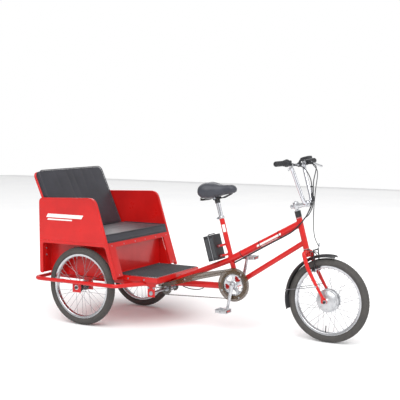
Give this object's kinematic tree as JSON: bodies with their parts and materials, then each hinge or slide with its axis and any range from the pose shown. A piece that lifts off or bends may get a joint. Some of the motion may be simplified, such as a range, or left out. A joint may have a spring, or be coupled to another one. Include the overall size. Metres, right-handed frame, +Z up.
{
  "type": "cycle rickshaw",
  "caption": "Pedal rickshaw with a padded two-seat bench and footboard over two rear wheels, a steered front wheel with a hub motor, and pedals with a chain drive.",
  "frame": {"origin": "on the ground under the middle of the whole vehicle, on its plane of symmetry", "axes": "+X forward, +Y to the rider's left, +Z up"},
  "size_m": [2.2243, 0.865, 1.1119],
  "materials": {
    "red_paint": "gloss enamel",
    "black_vinyl": "grained vinyl",
    "black_rubber": "matt ribbed",
    "tyre_rubber": "matt",
    "bright_steel": "plated",
    "alloy": "satin polished",
    "dark_steel": "oiled",
    "black_plastic": "matt",
    "smoke_plastic": "smoky translucent",
    "black_paint": "satin black"
  },
  "bodies": {
    "frame": {"main_frame": "red_paint", "rear_chassis": "red_paint", "bumper_rail": "red_paint", "footboard": "red_paint", "footboard_mat": "black_rubber", "wheel_wells": "red_paint", "side_panels": "red_paint", "bench_front": "red_paint", "bench_rear_panel": "red_paint", "seat_pan": "red_paint", "backrest_shell": "red_paint", "seat_cushion": "black_vinyl", "backrest_cushion": "black_vinyl", "rear_axle_right": "bright_steel", "chains": "dark_steel", "chain_guard": "smoke_plastic", "chain_tensioner": "black_plastic", "jackshaft_brackets": "red_paint", "battery_box": "black_plastic", "seat_post": "bright_steel", "saddle_rails": "black_paint", "saddle": "black_vinyl", "headset": "black_paint", "frame_cables": "black_plastic"},
    "jackshaft": {"jackshaft": "dark_steel"},
    "crankset": {"crankset": "alloy"},
    "right_pedal": {"right_pedal": "alloy"},
    "left_pedal": {"left_pedal": "alloy"},
    "steering": {"fork": "red_paint", "stem": "alloy", "handlebar": "bright_steel", "grips": "black_rubber", "bar_controls": "black_plastic", "steering_cables": "black_plastic", "front_brake": "black_paint", "front_fender": "black_plastic", "front_axle": "bright_steel"},
    "front_wheel": {"front_tyre": "tyre_rubber", "front_rim": "alloy", "front_hub_motor": "alloy"},
    "right_wheel": {"right_tyre": "tyre_rubber", "right_rim": "alloy", "right_hub": "black_paint"},
    "left_wheel": {"left_tyre": "tyre_rubber", "left_rim": "alloy", "left_hub": "black_paint", "drive_axle": "bright_steel"}
  },
  "joints": [
    {"name": "steering_turn", "type": "hinge", "parent": "frame", "child": "steering", "pos_m": [0.68684, 0, 0.65], "axis": [-0.2588, 0, 0.9659], "range_deg": [-45, 45]},
    {"name": "front_wheel_spin", "type": "hinge", "parent": "steering", "child": "front_wheel", "pos_m": [0.85818, 0, 0.254], "axis": [0, 1, 0], "continuous": true},
    {"name": "right_wheel_spin", "type": "hinge", "parent": "frame", "child": "right_wheel", "pos_m": [-0.70382, -0.35, 0.254], "axis": [0, 1, 0], "continuous": true},
    {"name": "left_wheel_spin", "type": "hinge", "parent": "frame", "child": "left_wheel", "pos_m": [-0.70382, 0.35, 0.254], "axis": [0, 1, 0], "continuous": true},
    {"name": "crank_spin", "type": "hinge", "parent": "frame", "child": "crankset", "pos_m": [0.24718, 0, 0.3], "axis": [0, 1, 0], "continuous": true},
    {"name": "right_pedal_spin", "type": "hinge", "parent": "crankset", "child": "right_pedal", "pos_m": [0.22118, -0.125, 0.15], "axis": [0, 1, 0], "continuous": true},
    {"name": "left_pedal_spin", "type": "hinge", "parent": "crankset", "child": "left_pedal", "pos_m": [0.27318, 0.125, 0.45], "axis": [0, 1, 0], "continuous": true},
    {"name": "jackshaft_spin", "type": "hinge", "parent": "frame", "child": "jackshaft", "pos_m": [-0.24582, 0, 0.23], "axis": [0, 1, 0], "continuous": true}
  ]
}
